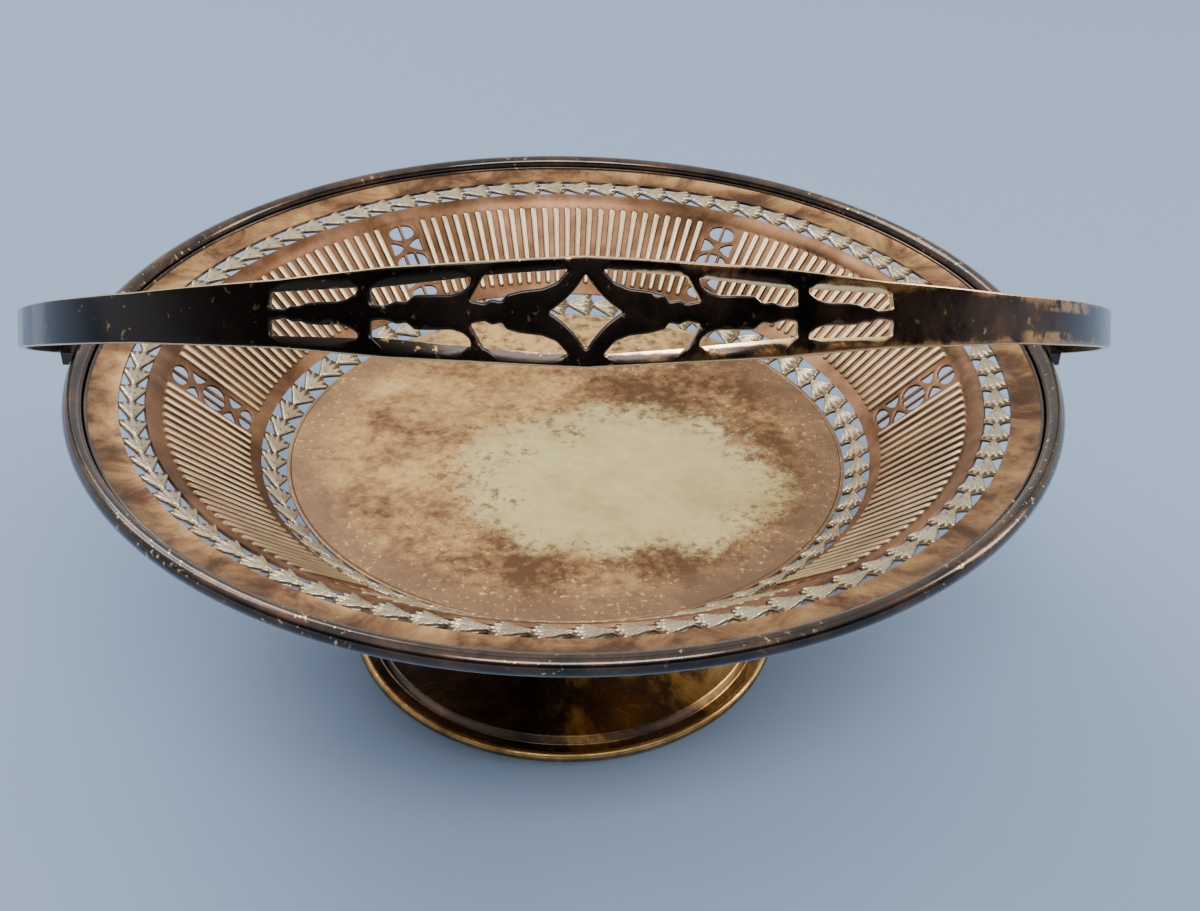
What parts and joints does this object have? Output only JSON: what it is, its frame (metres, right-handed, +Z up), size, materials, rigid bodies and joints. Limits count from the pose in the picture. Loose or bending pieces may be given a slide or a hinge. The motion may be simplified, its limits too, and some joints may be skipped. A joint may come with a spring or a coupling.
{
  "type": "swing-handled cake basket",
  "caption": "Round pierced and ribbed dish with leaf borders on a spun pedestal foot, with a flat pierced bow handle that swings over it on two rivets.",
  "frame": {"origin": "centre of the foot's underside, on the table", "axes": "+Z up; X along the handle's hinge axis; the handle leans towards -Y at rest"},
  "size_m": [0.2732, 0.2596, 0.1716],
  "materials": {
    "floor_plate": "tarnished silver plate, brown and gold with a paler worn middle",
    "leaf_band": "tarnished silver plate, polished by handling on its high parts",
    "wall_plate": "tarnished silver plate, brown between pale rubbed ribs",
    "flange_plate": "tarnished silver plate, tan-brown",
    "rim_plate": "nearly black tarnish, glossy, with bright wear",
    "foot_plate": "dark brown glossy tarnish",
    "foot_wire": "silver plate worn to a brassy edge",
    "hinge_plate": "dark tarnish",
    "handle_plate": "nearly black tarnish with brown and gold patches, edges rubbed bright"
  },
  "bodies": {
    "basket": {"dish_floor": "floor_plate", "inner_leaf_band": "leaf_band", "fluted_wall": "wall_plate", "outer_leaf_band": "leaf_band", "rim_flange": "flange_plate", "rim_moulding": "rim_plate", "pedestal_foot": "foot_plate", "foot_ring": "foot_wire", "foot_collar": "foot_plate", "hinge_lug_left": "hinge_plate", "hinge_lug_right": "hinge_plate", "hinge_pin_left": "hinge_plate", "hinge_pin_right": "hinge_plate"},
    "handle": {"handle_strap": "handle_plate"}
  },
  "joints": [
    {"name": "handle_swing", "type": "hinge", "parent": "basket", "child": "handle", "pos_m": [0, 0, 0.0957], "axis": [-1, 0, 0], "range_deg": [-26, 144]}
  ]
}
